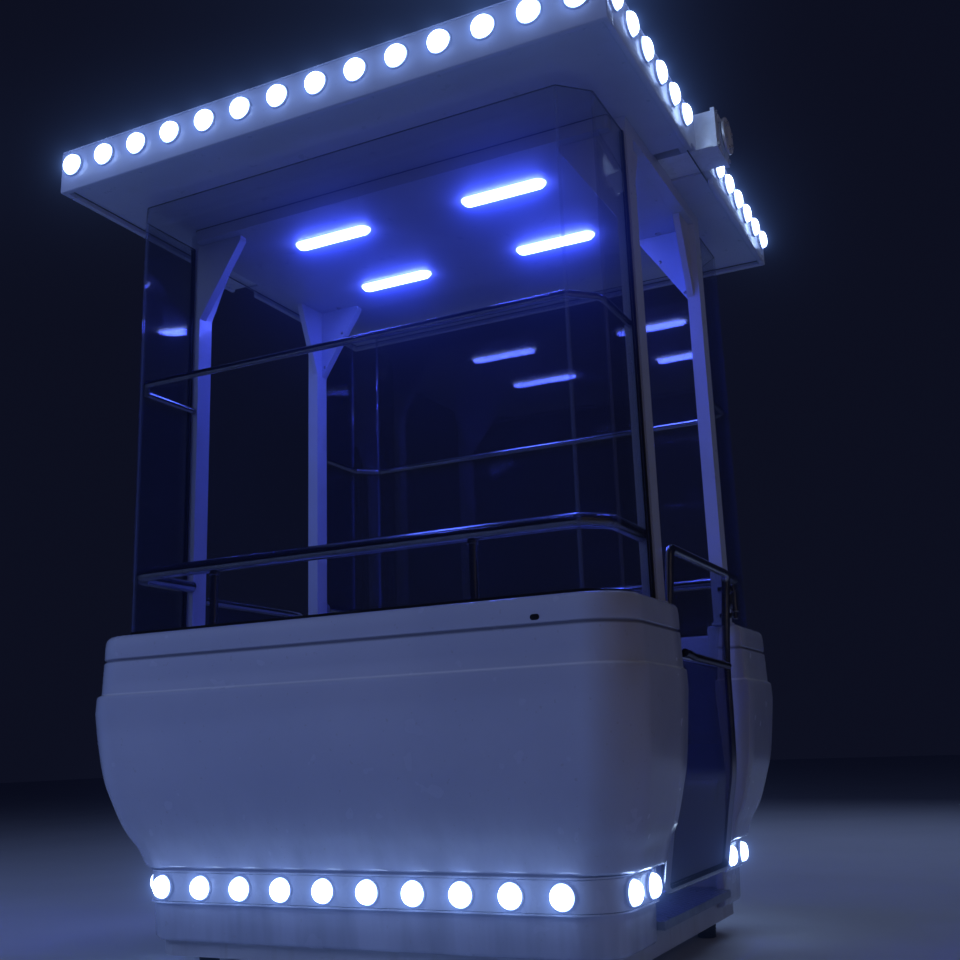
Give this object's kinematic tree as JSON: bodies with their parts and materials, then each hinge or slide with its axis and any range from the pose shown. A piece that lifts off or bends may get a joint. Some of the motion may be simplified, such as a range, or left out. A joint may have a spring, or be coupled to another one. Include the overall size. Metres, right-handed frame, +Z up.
{
  "type": "ferris wheel gondola",
  "caption": "Open passenger gondola with moulded tub halves, side gates, wrap-round windows and a lamp-lined canopy that hangs level from side pivots.",
  "frame": {"origin": "centre of the overall box, on the floor under the feet", "axes": "+Z up, +X along the wheel's axle towards the right gate, -Y towards the front tub"},
  "size_m": [1.924, 1.69, 2.3843],
  "materials": {
    "base_paint": "white paint, dulled by wear, semi gloss",
    "floor_plate": "raised chequer pattern, scuffed",
    "rubber": "matt black",
    "gelcoat": "white moulded gelcoat, gloss",
    "lamp_band": "white band with opal lamp domes",
    "seat_plastic": "white moulded plastic, satin",
    "white_paint": "white paint, gloss",
    "light_bar": "opal diffuser",
    "clear_sheet": "clear sheet with a faint blue tint",
    "gate_sheet": "clear sheet with a pale blue tint",
    "stainless": "polished stainless steel",
    "black_grip": "black, satin",
    "hub_steel": "turned steel, satin"
  },
  "bodies": {
    "cabin": {"base_pan": "base_paint", "floor_plate": "floor_plate", "foot_front_left": "rubber", "foot_back_left": "rubber", "foot_front_right": "rubber", "foot_back_right": "rubber", "front_tub": "gelcoat", "back_tub": "gelcoat", "front_lamp_band": "lamp_band", "back_lamp_band": "lamp_band", "front_seat": "seat_plastic", "back_seat": "seat_plastic", "post_front_left": "white_paint", "post_back_left": "white_paint", "post_front_right": "white_paint", "post_back_right": "white_paint", "header_left": "white_paint", "header_right": "white_paint", "fascia_front": "white_paint", "fascia_back": "white_paint", "fascia_left": "white_paint", "fascia_right": "white_paint", "pivot_housing_left": "white_paint", "pivot_housing_right": "white_paint", "soffit": "white_paint", "ceiling_panel": "white_paint", "roof_panel": "white_paint", "light_bar_front_left": "light_bar", "light_bar_front_right": "light_bar", "light_bar_back_left": "light_bar", "light_bar_back_right": "light_bar", "front_window": "clear_sheet", "back_window": "clear_sheet", "front_upper_rail": "stainless", "back_upper_rail": "stainless", "front_handrail": "stainless", "back_handrail": "stainless", "right_gate_hinge_rod": "stainless", "left_gate_hinge_rod": "stainless"},
    "right_gate": {"right_gate_frame": "stainless", "right_gate_upper_pane": "clear_sheet", "right_gate_lower_panel": "gate_sheet", "right_gate_grab_bar": "black_grip"},
    "left_gate": {"left_gate_frame": "stainless", "left_gate_upper_pane": "clear_sheet", "left_gate_lower_panel": "gate_sheet", "left_gate_grab_bar": "black_grip"},
    "right_pivot": {"right_hub": "hub_steel"},
    "left_pivot": {"left_hub": "hub_steel"}
  },
  "joints": [
    {"name": "right_gate_hinge", "type": "hinge", "parent": "cabin", "child": "right_gate", "pos_m": [0.785, 0.297, 0.965], "axis": [0, 0, 1], "range_deg": [0, 90]},
    {"name": "left_gate_hinge", "type": "hinge", "parent": "cabin", "child": "left_gate", "pos_m": [-0.785, 0.297, 0.965], "axis": [0, 0, -1], "range_deg": [0, 90]},
    {"name": "right_pivot_turn", "type": "hinge", "parent": "cabin", "child": "right_pivot", "pos_m": [0.93, 0, 2.309], "axis": [1, 0, 0], "continuous": true},
    {"name": "left_pivot_turn", "type": "hinge", "parent": "cabin", "child": "left_pivot", "pos_m": [-0.93, 0, 2.309], "axis": [1, 0, 0], "continuous": true}
  ]
}
